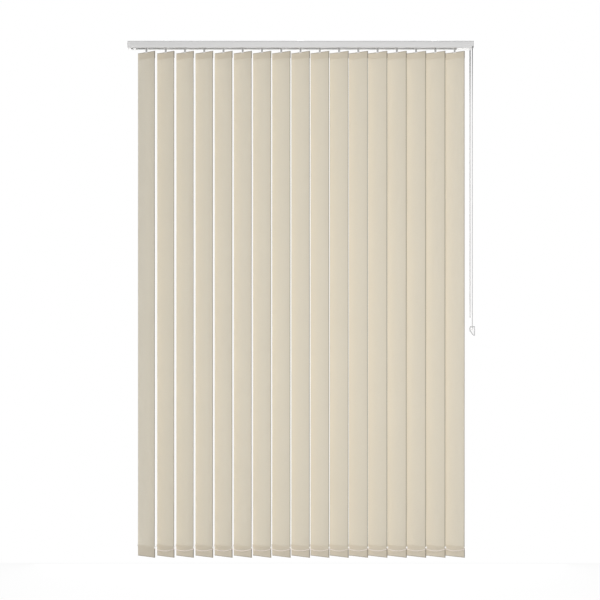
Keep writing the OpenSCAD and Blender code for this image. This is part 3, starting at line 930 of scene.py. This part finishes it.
@dataclass
class SlatFabric:
    """One slat's cloth: a long strip folded into a pocket at each end, curled across in between."""

    finishes: FinishLibrary
    size: SlatSize
    fold: float = 0.0011
    top_pocket: float = 0.028
    bottom_pocket: float = 0.046
    top_flat: float = 0.083
    bottom_flat: float = 0.118
    curl_blend: float = 0.040
    curl: float = 0.003
    ripple: float = 0.0006
    notch_half: float = 0.0055
    notch_depth: float = 0.004
    columns: int = 16
    row: float = 0.06
    fold_steps: int = 6
    seam: float = 0.00022
    seam_inset: float = 0.002
    seam_half: float = 0.0016
    seam_clear: float = 0.01
    long_wave: Span = (7.3, 2.1)
    cross_wave: Point = (38.0, 2.2, 1.3)
    shade_angle: float = 50

    @property
    def fold_top(self) -> float:
        """Height of the top fold's centre."""
        return self.size.top - self.size.fabric / 2 - self.fold

    @property
    def fold_bottom(self) -> float:
        """Height of the bottom fold's centre."""
        return self.size.bottom + self.size.fabric / 2 + self.fold

    @property
    def cut_length(self) -> float:
        """Length of the strip before it is folded."""
        panel = self.fold_top - self.fold_bottom
        return panel + 2 * math.pi * self.fold + self.top_pocket + self.bottom_pocket

    def bend(self, height: float, first: float, last: float) -> list[Span]:
        """Returns the points of a fold about a height, from one angle in degrees to another."""
        return [point[1:] for point in arc((0, 0, height), self.fold, first, last, self.fold_steps)]

    def panel(self) -> list[Span]:
        """Returns the front panel's rows from top to bottom, pressed in at the two welded seams."""
        seams = (
            self.fold_top - self.top_pocket + self.seam_inset,
            self.fold_bottom + self.bottom_pocket - self.seam_inset,
        )
        heights = {round(self.size.top - self.notch_depth, 6): 0.0}
        for seam in seams:
            for step, press in ((self.seam_half, 0.0), (0.0, self.seam), (-self.seam_half, 0.0)):
                heights[round(seam + step, 6)] = press
        count = round((self.fold_top - self.fold_bottom) / self.row)
        for k in range(1, count):
            height = self.fold_top + (self.fold_bottom - self.fold_top) * k / count
            if min(abs(height - seam) for seam in seams) > self.seam_clear:
                heights[round(height, 6)] = 0.0
        return [(-self.fold + heights[z], z) for z in sorted(heights, reverse=True)]

    def rows(self) -> list[Span]:
        """Returns the strip's side view as (y, z) points, from the top flap's hem to the bottom flap's."""
        return [
            (self.fold, self.fold_top - self.top_pocket),
            (self.fold, self.size.top - self.notch_depth),
            *self.bend(self.fold_top, 0, 180),
            *self.panel(),
            *self.bend(self.fold_bottom, 180, 360),
            (self.fold, self.fold_bottom + self.bottom_pocket),
        ]

    def strip(self) -> Piece:
        """Models the folded strip in the slat's own frame.

        Returns:
            The strip, one face thick.
        """
        rows = self.rows()
        first, second = rows[0], rows[1]
        Workbench.clear()
        bpy.ops.mesh.primitive_grid_add(
            x_subdivisions=self.columns,
            y_subdivisions=1,
            size=1,
            location=(0, first[0], (first[1] + second[1]) / 2),
            rotation=(math.pi / 2, 0, 0),
        )
        strip = bpy.context.active_object
        strip.scale = (self.size.width, second[1] - first[1], 1)
        bpy.ops.object.transform_apply(location=True, rotation=True, scale=True)
        edge = second[1] - TINY
        with Workbench.editing(strip, "EDGE"):
            Workbench.choose_points(strip, lambda place: place.z > edge)
            for before, after in zip(rows[1:], rows[2:], strict=False):
                Workbench.pull(after[0] - before[0], after[1] - before[1])
        with Workbench.editing(strip):
            for side in (-1, 1):
                Workbench.cut(strip, (side * self.notch_half, 0, 0), (1, 0, 0))
            floor = self.size.top - self.notch_depth - TINY
            Workbench.choose_faces(
                strip, lambda place, _: abs(place.x) < self.notch_half and place.z > floor
            )
            bpy.ops.mesh.delete(type="FACE")
        return strip

    def bow(self, height: float) -> float:
        """Returns how much of the curl a height has: none at the pockets, all of it in between."""

        def ease(value: float) -> float:
            """Eases a value from 0 to 1."""
            part = min(max(value, 0.0), 1.0)
            return part * part * (3 - 2 * part)

        upper = ease((self.size.top - self.top_flat - height) / self.curl_blend)
        lower = ease((height - self.size.bottom - self.bottom_flat) / self.curl_blend)
        return min(upper, lower)

    def shape(self, strip: Piece, number: int) -> None:
        """Curls a strip across its width and gives it the faint ripple of hanging cloth.

        Args:
            strip: The strip in the slat's own frame.
            number: The slat's number, which sets its ripple.
        """
        curl = strip.vertex_groups.new(name="curl")
        ripple = strip.vertex_groups.new(name="ripple")
        along, shift = self.long_wave
        across, lean, turn = self.cross_wave
        for vertex in strip.data.vertices:
            u, y, z = vertex.co
            bow = self.bow(z) if y < 0 else 0.0
            curl.add([vertex.index], bow * (1 - (2 * u / self.size.width) ** 2), "REPLACE")
            wave = math.sin(z * along + number * shift) * math.sin(u * across + z * lean + number * turn)
            ripple.add([vertex.index], bow * (0.5 + 0.5 * wave), "REPLACE")
        for group, strength in (("curl", -self.curl), ("ripple", self.ripple)):
            Workbench.finish(
                strip, "DISPLACE", direction="Y", mid_level=0.0, strength=strength, vertex_group=group
            )

    def chart(self, strip: Piece) -> None:
        """Writes the cut map: metres across and along the slat."""
        layer = strip.data.uv_layers.new(name="cut")
        for loop in strip.data.loops:
            place = strip.data.vertices[loop.vertex_index].co
            layer.data[loop.index].uv = (place.x, place.z)

    def build(self, layout: BlindLayout) -> None:
        """Makes every slat's cloth and hangs it on its body."""
        pattern = self.strip()
        for layer in list(pattern.data.uv_layers):
            pattern.data.uv_layers.remove(layer)
        for number in layout.numbers():
            cloth = Workbench.copy(pattern, f"slat_cloth_{number:02d}")
            self.shape(cloth, number)
            self.chart(cloth)
            thickness = self.size.fabric
            Workbench.finish(cloth, "SOLIDIFY", thickness=thickness, offset=0.0, use_even_offset=True)
            Workbench.smooth(cloth, self.shade_angle)
            cloth.vertex_groups.clear()
            cloth.data.transform(layout.placement(number))
            wear(cloth, self.finishes.fabric)
            body = f"slat_{number:02d}"
            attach(cloth, body)
            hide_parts(body)
            LOG.info("hung %s", cloth.name)
        Workbench.discard(pattern)


@dataclass
class SlatFittings:
    """The moulded pieces of one slat: hook stem, hanger plate and bottom weight with its chain clips."""

    finishes: FinishLibrary
    size: SlatSize
    wheel_radius: float = 0.0041
    wheel_low: float = -0.0208
    wheel_high: float = -0.0144
    teeth: int = 12
    tooth: float = 0.0008
    stem_radius: float = 0.003
    head_top: float = -0.033
    head_low: float = -0.0371
    prong_low: float = -0.0445
    prong_gap: float = 0.0009
    prong_back: float = 0.0022
    hook_half: float = 0.0035
    hook_rounding: float = 0.00028
    eye_z: float = -0.0403
    eye_half: Span = (0.0026, 0.0018)
    nib_radius: float = 0.0013
    nib_sides: int = 16
    nib_play: float = 0.0002
    plate_rounding: float = 0.0002
    hanger_thin: float = 0.0006
    hanger_low: float = -0.069
    hanger_high: float = -0.0476
    tongue_half: float = 0.004
    tongue_top: float = -0.0373
    weight_thin: float = 0.0007
    weight_low: float = -2.1386
    weight_top: float = -2.098
    panel_margin: float = 0.004
    panel_depth: float = 0.0002
    clip_z: float = -2.0965
    clip_radius: float = 0.0036
    clip_thickness: float = 0.0017
    clip_sides: int = 24
    clip_rim: float = 0.38
    clip_dish: float = 0.0004
    clip_rounding: float = 0.0003
    neck_low: float = -2.0999
    neck_root: float = 0.0005
    neck_reach: Span = (0.0004, 0.0035)

    def hook_stem(self) -> Piece:
        """Models the worm wheel, the stem and the two prongs.

        Returns:
            The hook stem in the slat's own frame.
        """
        height = self.wheel_high - self.wheel_low
        middle = (self.wheel_low + self.wheel_high) / 2
        wheel = Workbench.disc("wheel", (0, 0, middle), self.wheel_radius, height, 2 * self.teeth)
        step = math.pi / self.teeth

        def tooth_face(place: Vector, normal: Vector) -> bool:
            """Tells every second side face."""
            even = math.floor(math.atan2(place.y, place.x) / step) % 2 == 0
            return even and abs(normal.z) < FACING

        with Workbench.editing(wheel):
            Workbench.choose_faces(wheel, tooth_face)
            bpy.ops.mesh.extrude_faces_move(TRANSFORM_OT_shrink_fatten={"value": self.tooth})
            Workbench.choose_faces(
                wheel, lambda place, normal: normal.z < -FACING and place.xy.length < TINY
            )
            bpy.ops.mesh.inset(thickness=self.wheel_radius - self.stem_radius)
            Workbench.pull(z=self.head_top - self.wheel_low)
        head = Workbench.block(
            "head",
            (-self.hook_half, -self.prong_back, self.head_low),
            (self.hook_half, self.prong_back, self.head_top),
        )
        with Workbench.editing(head):
            for side in (-1, 1):
                Workbench.cut(head, (0, side * self.prong_gap, 0), (0, 1, 0))
            Workbench.choose_faces(
                head, lambda place, normal: normal.z < -FACING and abs(place.y) > self.prong_gap
            )
            Workbench.pull(z=self.prong_low - self.head_low)
        middle = (0, self.nib_play, self.eye_z + self.eye_half[1] - self.nib_radius - self.nib_play)
        long = 2 * self.prong_gap - 2 * self.nib_play
        nib = Workbench.disc("nib", middle, self.nib_radius, long, self.nib_sides, math.pi / 2)
        stem = Workbench.joined("hook_stem", head, wheel, nib)
        Workbench.round_edges(stem, self.hook_rounding)
        return stem

    def hanger(self) -> Piece:
        """Models the plate in the top pocket, with its tongue and eye.

        Returns:
            The hanger in the slat's own frame.
        """
        half, thin = self.size.half - self.size.hanger_margin, self.hanger_thin
        low, high = (-half, -thin, self.hanger_low), (half, thin, self.hanger_high)
        plate = Workbench.block("slat_hanger", low, high)
        wide, tall = self.eye_half
        with Workbench.editing(plate):
            for side in (-1, 1):
                Workbench.cut(plate, (side * self.tongue_half, 0, 0), (1, 0, 0))
            Workbench.choose_faces(
                plate, lambda place, normal: normal.z > FACING and abs(place.x) < self.tongue_half
            )
            Workbench.pull(z=self.tongue_top - self.hanger_high)

            def on_tongue(place: Vector, normal: Vector) -> bool:
                """Tells the tongue's front and back faces."""
                return place.z > self.hanger_high and abs(normal.y) > FACING

            for side in (-1, 1):
                Workbench.cut(plate, (0, 0, self.eye_z + side * tall), (0, 0, 1), on_tongue)
                Workbench.cut(plate, (side * wide, 0, 0), (1, 0, 0), on_tongue)
            Workbench.choose_faces(
                plate,
                lambda place, normal: on_tongue(place, normal)
                and abs(place.x) < wide
                and abs(place.z - self.eye_z) < tall,
            )
            bpy.ops.mesh.bridge_edge_loops()
        Workbench.round_edges(plate, self.plate_rounding)
        return plate

    def chain_clip(self) -> Piece:
        """Models the round clip that stands in front of the fabric's edge, on its neck.

        Returns:
            The clip at the slat's near edge.
        """
        front = -self.size.clip_front
        middle = (self.size.clip_u, front, self.clip_z)
        long = self.clip_thickness
        button = Workbench.disc("button", middle, self.clip_radius, long, self.clip_sides, math.pi / 2)
        with Workbench.editing(button):
            Workbench.choose_faces(button, lambda _, normal: normal.y < -FACING)
            bpy.ops.mesh.inset(thickness=self.clip_radius * self.clip_rim)
            Workbench.pull(y=self.clip_dish)
        thin = self.weight_thin
        root = self.size.half - self.size.weight_margin - self.neck_root
        start, end = (self.size.half + reach for reach in self.neck_reach)
        neck = Workbench.block("neck", (root, -thin, self.neck_low), (end, thin, self.weight_top))
        arm = Workbench.block("arm", (start, front, self.neck_low), (end, thin, self.weight_top))
        clip = Workbench.joined("clip", button, neck, arm)
        Workbench.round_edges(clip, self.clip_rounding)
        return clip

    def bottom_weight(self) -> Piece:
        """Models the plate in the bottom pocket with a clip at each top corner.

        Returns:
            The weight in the slat's own frame.
        """
        half, thin = self.size.half - self.size.weight_margin, self.weight_thin
        plate = Workbench.block("plate", (-half, -thin, self.weight_low), (half, thin, self.weight_top))
        with Workbench.editing(plate):
            Workbench.choose_faces(plate, lambda _, normal: abs(normal.y) > FACING)
            bpy.ops.mesh.inset(thickness=self.panel_margin, use_individual=True)
            bpy.ops.mesh.extrude_faces_move(TRANSFORM_OT_shrink_fatten={"value": -self.panel_depth})
        Workbench.round_edges(plate, self.plate_rounding)
        near = self.chain_clip()
        far = Workbench.copy(near, "far_clip", Matrix.Rotation(math.pi, 4, "Z"))
        return Workbench.joined("bottom_weight", plate, near, far)

    def build(self, layout: BlindLayout) -> None:
        """Makes every slat's fittings and hangs them on its body."""
        patterns = {
            "hook_stem": (self.hook_stem(), self.finishes.hook),
            "slat_hanger": (self.hanger(), self.finishes.carrier),
            "bottom_weight": (self.bottom_weight(), self.finishes.clip),
        }
        for number in layout.numbers():
            for name, (pattern, material) in patterns.items():
                piece = Workbench.copy(pattern, f"{name}_{number:02d}", layout.placement(number))
                wear(piece, material)
                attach(piece, f"slat_{number:02d}")
        Workbench.discard(*(pattern for pattern, _ in patterns.values()))
        LOG.info("fitted %d slats with %s", layout.count, ", ".join(patterns))


def arc(
    middle: Point, radius: float, first: float, last: float, steps: int, plane: tuple[int, int] = (1, 2)
) -> list[Point]:
    """Returns an arc's points.

    Args:
        middle: The arc's centre.
        radius: Its radius.
        first: The angle of its first point, in degrees from the plane's first axis towards its second.
        last: The angle of its last point.
        steps: The number of its chords.
        plane: The numbers of its plane's two axes, Y and Z if left out.

    Returns:
        The points, in order.
    """
    points = []
    for k in range(steps + 1):
        turn = math.radians(first + (last - first) * k / steps)
        point = list(middle)
        point[plane[0]] += radius * math.cos(turn)
        point[plane[1]] += radius * math.sin(turn)
        points.append(tuple(point))
    return points


def spaced(start: Point, end: Point, count: int) -> list[Point]:
    """Returns evenly spaced points from one to another, without the last."""
    first, last = Vector(start), Vector(end)
    return [tuple(first.lerp(last, k / count)) for k in range(count)]


def length_of(route: Sequence[Point]) -> float:
    """Returns the length of a route."""
    return sum((Vector(b) - Vector(a)).length for a, b in zip(route, route[1:], strict=False))


def route_curve(name: str, route: Sequence[Point], diameter: float = 0.0) -> Piece:
    """Makes a curve of straight chords.

    Args:
        name: The curve's name.
        route: Its points.
        diameter: Its thickness.

    Returns:
        The curve object.
    """
    data = bpy.data.curves.new(name, "CURVE")
    data.dimensions = "3D"
    data.bevel_depth = diameter / 2
    data.bevel_resolution = 3
    spline = data.splines.new("POLY")
    spline.points.add(len(route) - 1)
    for point, place in zip(spline.points, route, strict=True):
        point.co = (*place, 1.0)
    curve = bpy.data.objects.new(name, data)
    bpy.context.scene.collection.objects.link(curve)
    return curve


@dataclass
class BeadString:
    """A string of moulded beads on a thin thread, laid along a route."""

    bead_radius: float
    pitch: float
    thread_radius: float
    segments: int = 8
    rings: int = 5
    shade_angle: float = 60

    def bead(self) -> Piece:
        """Models one bead with its thread up to the next one.

        Returns:
            The bead, centred on the origin with its thread along Z.
        """
        Workbench.clear()
        bpy.ops.mesh.primitive_uv_sphere_add(
            segments=self.segments, ring_count=self.rings, radius=self.bead_radius
        )
        bead = bpy.context.active_object
        lip = self.bead_radius * math.cos(math.pi / self.rings)
        shoulder = self.bead_radius * math.sin(math.pi / self.rings)
        with Workbench.editing(bead):
            Workbench.choose_faces(bead, lambda place, _: place.z > lip)
            bpy.ops.mesh.inset(thickness=shoulder - self.thread_radius)
            Workbench.pull(z=self.pitch - 2 * lip)
        return bead

    def lay(self, name: str, route: Sequence[Point]) -> Piece:
        """Strings beads along a route.

        Args:
            name: The string's name.
            route: The points that it follows.

        Returns:
            The string of beads.
        """
        chain = self.bead()
        chain.name = name
        guide = route_curve(f"{name}_guide", route)
        count = math.floor((length_of(route) - self.bead_radius) / self.pitch)
        spare = (length_of(route) - (count - 1) * self.pitch) / 2
        chain.data.transform(Matrix.Translation((0, 0, spare)))
        Workbench.finish(
            chain,
            "ARRAY",
            count=count,
            use_relative_offset=False,
            use_constant_offset=True,
            constant_offset_displace=(0, 0, self.pitch),
        )
        Workbench.finish(chain, "CURVE", object=guide, deform_axis="POS_Z")
        Workbench.smooth(chain, self.shade_angle)
        Workbench.discard(guide)
        return chain


@dataclass
class Controls:
    """The hanging controls: the tilt chain's loop, and the draw cord with its weight."""

    finishes: FinishLibrary
    nodes: dict[str, Piece]
    outlet_z: float = -0.031
    chain_y: float = 0.0084
    chain_turn: float = 0.0079577
    chain_turn_z: float = -1.1390423
    chain_bead: float = 0.0036
    chain_pitch: float = 0.005
    chain_thread: float = 0.0006
    chain_steps: int = 12
    cord_y: float = -0.013
    cord_turn: float = 0.004
    cord_turn_z: float = -1.195
    cord_size: float = 0.0018
    cord_steps: int = 10
    turn_steps: int = 16
    run_z: float = -0.014
    pulley_turn: float = 0.006
    pulley_steps: int = 10

    @staticmethod
    def middle_x(node: str) -> float:
        """Returns the middle of a node along the headrail."""
        low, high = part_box(node)
        return (low[0] + high[0]) / 2

    def loop(self, x: float, y: float, turn: float, turn_z: float, steps: int) -> list[Point]:
        """Returns the route of a loop that hangs from the end cap.

        Args:
            x: Its place along the headrail.
            y: The middle between its two runs.
            turn: The radius of its bottom turn.
            turn_z: The height of that turn's centre.
            steps: The number of points down each run.

        Returns:
            The route, from the front outlet round to the rear one.
        """
        front, rear = (x, y - turn, self.outlet_z), (x, y + turn, self.outlet_z)
        bottom = arc((x, y, turn_z), turn, 180, 360, self.turn_steps)
        return [*spaced(front, bottom[0], steps), *bottom, *spaced(rear, bottom[-1], steps)[::-1]]

    def tilt_chain(self) -> None:
        """Makes the bead chain that turns the slats."""
        x = self.middle_x("tilt_chain")
        route = self.loop(x, self.chain_y, self.chain_turn, self.chain_turn_z, self.chain_steps)
        beads = BeadString(self.chain_bead / 2, self.chain_pitch, self.chain_thread)
        chain = beads.lay("tilt_bead_chain", route)
        wear(chain, self.finishes.chain)
        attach(chain, "rail")
        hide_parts("tilt_chain")
        LOG.info("strung %s, %.3f m", chain.name, length_of(route))

    def draw_cord(self, weight: Piece) -> None:
        """Makes the hanging loop of the draw cord.

        Args:
            weight: The cord weight that hangs in the loop; not used.
        """
        x = self.middle_x("draw_cord")
        route = self.loop(x, self.cord_y, self.cord_turn, self.cord_turn_z, self.cord_steps)
        cord = route_curve("draw_cord_loop", route, self.cord_size)
        wear(cord, self.finishes.cord)
        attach(cord, "rail")
        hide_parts("draw_cord")
        LOG.info("hung %s, %.3f m", cord.name, length_of(route))

    def cord_in_rail(self) -> None:
        """Makes the draw cord's run inside the headrail, over the pulleys and round the return pulley."""
        cord_x = self.middle_x("draw_cord")
        bends = []
        for y in (self.cord_y - self.cord_turn, self.cord_y + self.cord_turn):
            middle = (cord_x - self.pulley_turn, y, self.run_z - self.pulley_turn)
            over = arc(middle, self.pulley_turn, 90, 0, self.pulley_steps, plane=(0, 2))
            bends.append([*over, (cord_x, y, self.outlet_z)])
        middle = (self.middle_x("return_pulley"), self.cord_y, self.run_z)
        back = arc(middle, self.cord_turn, 270, 90, self.turn_steps, plane=(0, 1))
        route = [*reversed(bends[0]), *back, *bends[1]]
        run = route_curve("draw_cord_in_rail", route, self.cord_size)
        wear(run, self.finishes.cord)
        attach(run, "rail")
        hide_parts("draw_cord_run")
        LOG.info("threaded %s", run.name)


@dataclass
class BottomChains:
    """The two chains that link the slats' weights, in a shallow bow from clip to clip.

    Each chain stands off from the clips on side links, to stay clear of the slats however they turn.
    """

    finishes: FinishLibrary
    size: SlatSize
    bead_radius: float = 0.0012
    pitch: float = 0.0028
    height: float = -2.1016
    thread: float = 0.00045
    stand_off: float = 0.0046
    side_beads: int = 2
    sag: float = 0.0085
    bow_steps: int = 16
    end: float = 0.003
    stack_share: float = 0.3125
    middle: int = 9

    def offset(self, layout: BlindLayout, side: int) -> Vector:
        """Returns where a slat's clip is from its axis, at the near (1) or far (-1) edge."""
        turn = -layout.turn
        along, front = self.size.clip_u, self.size.clip_front
        across = along * math.cos(turn) - front * math.sin(turn)
        deep = along * math.sin(turn) + front * math.cos(turn)
        return Vector((side * across, -side * deep, 0))

    def route(self, layout: BlindLayout, side: int) -> list[Point]:
        """Returns a chain's route from the first slat's clip to the last one's."""
        shift = self.offset(layout, side) - Vector((0, side * self.stand_off, 0))
        first, last = layout.axis_x(1), layout.axis_x(layout.count)
        points = [Vector((first - self.end, 0, self.height))]
        for number in range(1, layout.count):
            for k in range(self.bow_steps):
                part = k / self.bow_steps
                drop = self.sag * 4 * part * (1 - part)
                points.append(Vector((layout.axis_x(number) + layout.pitch * part, 0, self.height - drop)))
        points.append(Vector((last, 0, self.height)))
        points.append(Vector((last + self.end, 0, self.height)))
        return [tuple(point + shift) for point in points]

    def side_links(self, layout: BlindLayout, side: int) -> list[Piece]:
        """Makes the short links from the clips to a chain.

        Args:
            layout: Where the slats hang.
            side: The near (1) or far (-1) edge of the slats.

        Returns:
            The beads of every link.
        """
        pitch = self.stand_off / self.side_beads
        beads = BeadString(self.bead_radius, pitch, self.thread)
        bead = beads.bead()
        Workbench.smooth(bead, beads.shade_angle)
        turn = Matrix.Rotation(side * math.pi / 2, 4, "X")
        made = []
        for number in layout.numbers():
            clip = self.offset(layout, side) + Vector((layout.axis_x(number), 0, self.height))
            for k in range(self.side_beads):
                place = clip - Vector((0, side * k * pitch, 0))
                made.append(Workbench.copy(bead, "side_bead", Matrix.Translation(place) @ turn))
        Workbench.discard(bead)
        return made

    def build(self, layout: BlindLayout) -> None:
        """Makes both chains, which draw together as the slats do."""
        for name, side in (("bottom_chain_front", 1), ("bottom_chain_rear", -1)):
            beads = BeadString(self.bead_radius, self.pitch, self.thread)
            string = beads.lay("string", self.route(layout, side))
            chain = Workbench.joined(f"{name}_beads", string, *self.side_links(layout, side))
            wear(chain, self.finishes.link)
            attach(chain, name)
            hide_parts(name)
            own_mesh(chain)
            LOG.info("strung %s", chain.name)


@dataclass
class Housing:
    """The headrail's CAD pieces, dressed, with the moulded ones' outer rims rounded."""

    finishes: FinishLibrary
    nodes: dict[str, Piece]
    reach: float = 0.0001
    weight_rounding: float = 0.0007
    cap_rounding: float = 0.0004
    outlet_height: float = 0.0085
    weld: float = 2e-6
    flat_angle: float = 0.6
    sharp_angle: float = 30
    rounding_steps: int = 3

    def softened(self, node: str, material: Material, width: float, on_rim: PlaceTest) -> Piece:
        """Makes a piece on the rail from a copy of a CAD node, with some of its sharp edges rounded.

        Args:
            node: The CAD node that it replaces.
            material: Its material.
            width: The width of the rounding.
            on_rim: Tells from the places of an edge's ends whether it is rounded.

        Returns:
            The new piece.
        """
        piece = Workbench.copy(self.nodes[node], f"{node}_moulded")
        with Workbench.editing(piece, "EDGE"):
            bpy.ops.mesh.customdata_custom_splitnormals_clear()
            bpy.ops.mesh.select_all(action="SELECT")
            bpy.ops.mesh.remove_doubles(threshold=self.weld)
            bpy.ops.mesh.dissolve_limited(angle_limit=math.radians(self.flat_angle))
            Workbench.choose_rims(piece, self.sharp_angle, on_rim)
            bpy.ops.mesh.bevel(offset=width, segments=self.rounding_steps, clamp_overlap=True)
        Workbench.smooth(piece, self.sharp_angle)
        wear(piece, material)
        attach(piece, "rail")
        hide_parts(node)
        LOG.info("moulded %s", piece.name)
        return piece

    def cord_weight(self) -> Piece:
        """Makes the cord weight, with the rims of its front and back rounded.

        Returns:
            The weight.
        """
        low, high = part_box("cord_weight")
        return self.softened(
            "cord_weight",
            self.finishes.weight,
            self.weight_rounding,
            lambda place: min(place.y - low[1], high[1] - place.y) < self.reach,
        )

    def end_caps(self) -> None:
        """Makes both end caps, rounded beyond the headrail apart from the cords' outlets."""
        low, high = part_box("headrail")
        self.softened(
            "idler_end_cap",
            self.finishes.cap,
            self.cap_rounding,
            lambda place: place.x < low[0] - self.reach,
        )
        self.softened(
            "control_end_cap",
            self.finishes.cap,
            self.cap_rounding,
            lambda place: place.x > high[0] + self.reach and place.z > low[2] + self.outlet_height,
        )

    def dress(self) -> None:
        """Gives every CAD node that stays its material."""
        starts = {
            "headrail": self.finishes.rail,
            "tilt_rod": self.finishes.rod,
            "pulley_pin": self.finishes.steel,
            "roller_pin": self.finishes.steel,
            "bracket_": self.finishes.steel,
            "chain_wheel": self.finishes.clip,
            "cord_pulley_": self.finishes.clip,
            "return_pulley": self.finishes.clip,
            "weight_roller": self.finishes.clip,
            "carrier_": self.finishes.carrier,
        }
        for name, node in self.nodes.items():
            for start, material in starts.items():
                if name.startswith(start):
                    wear(node, material)


def main() -> None:
    """Builds the studio, the cords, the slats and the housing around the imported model."""
    logging.basicConfig(level=logging.INFO, format="%(name)s: %(message)s")
    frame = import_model()
    studio = Studio()
    studio.camera()
    studio.light()
    studio.floor()
    finishes = FinishLibrary()
    layout = BlindLayout()
    size = SlatSize()
    housing = Housing(finishes, frame["nodes"])
    housing.dress()
    weight = housing.cord_weight()
    controls = Controls(finishes, frame["nodes"])
    controls.tilt_chain()
    controls.draw_cord(weight)
    controls.cord_in_rail()
    housing.end_caps()
    SlatFittings(finishes, size).build(layout)
    SlatFabric(finishes, size).build(layout)
    BottomChains(finishes, size).build(layout)
    Workbench.clear()


if __name__ == "__main__":
    main()
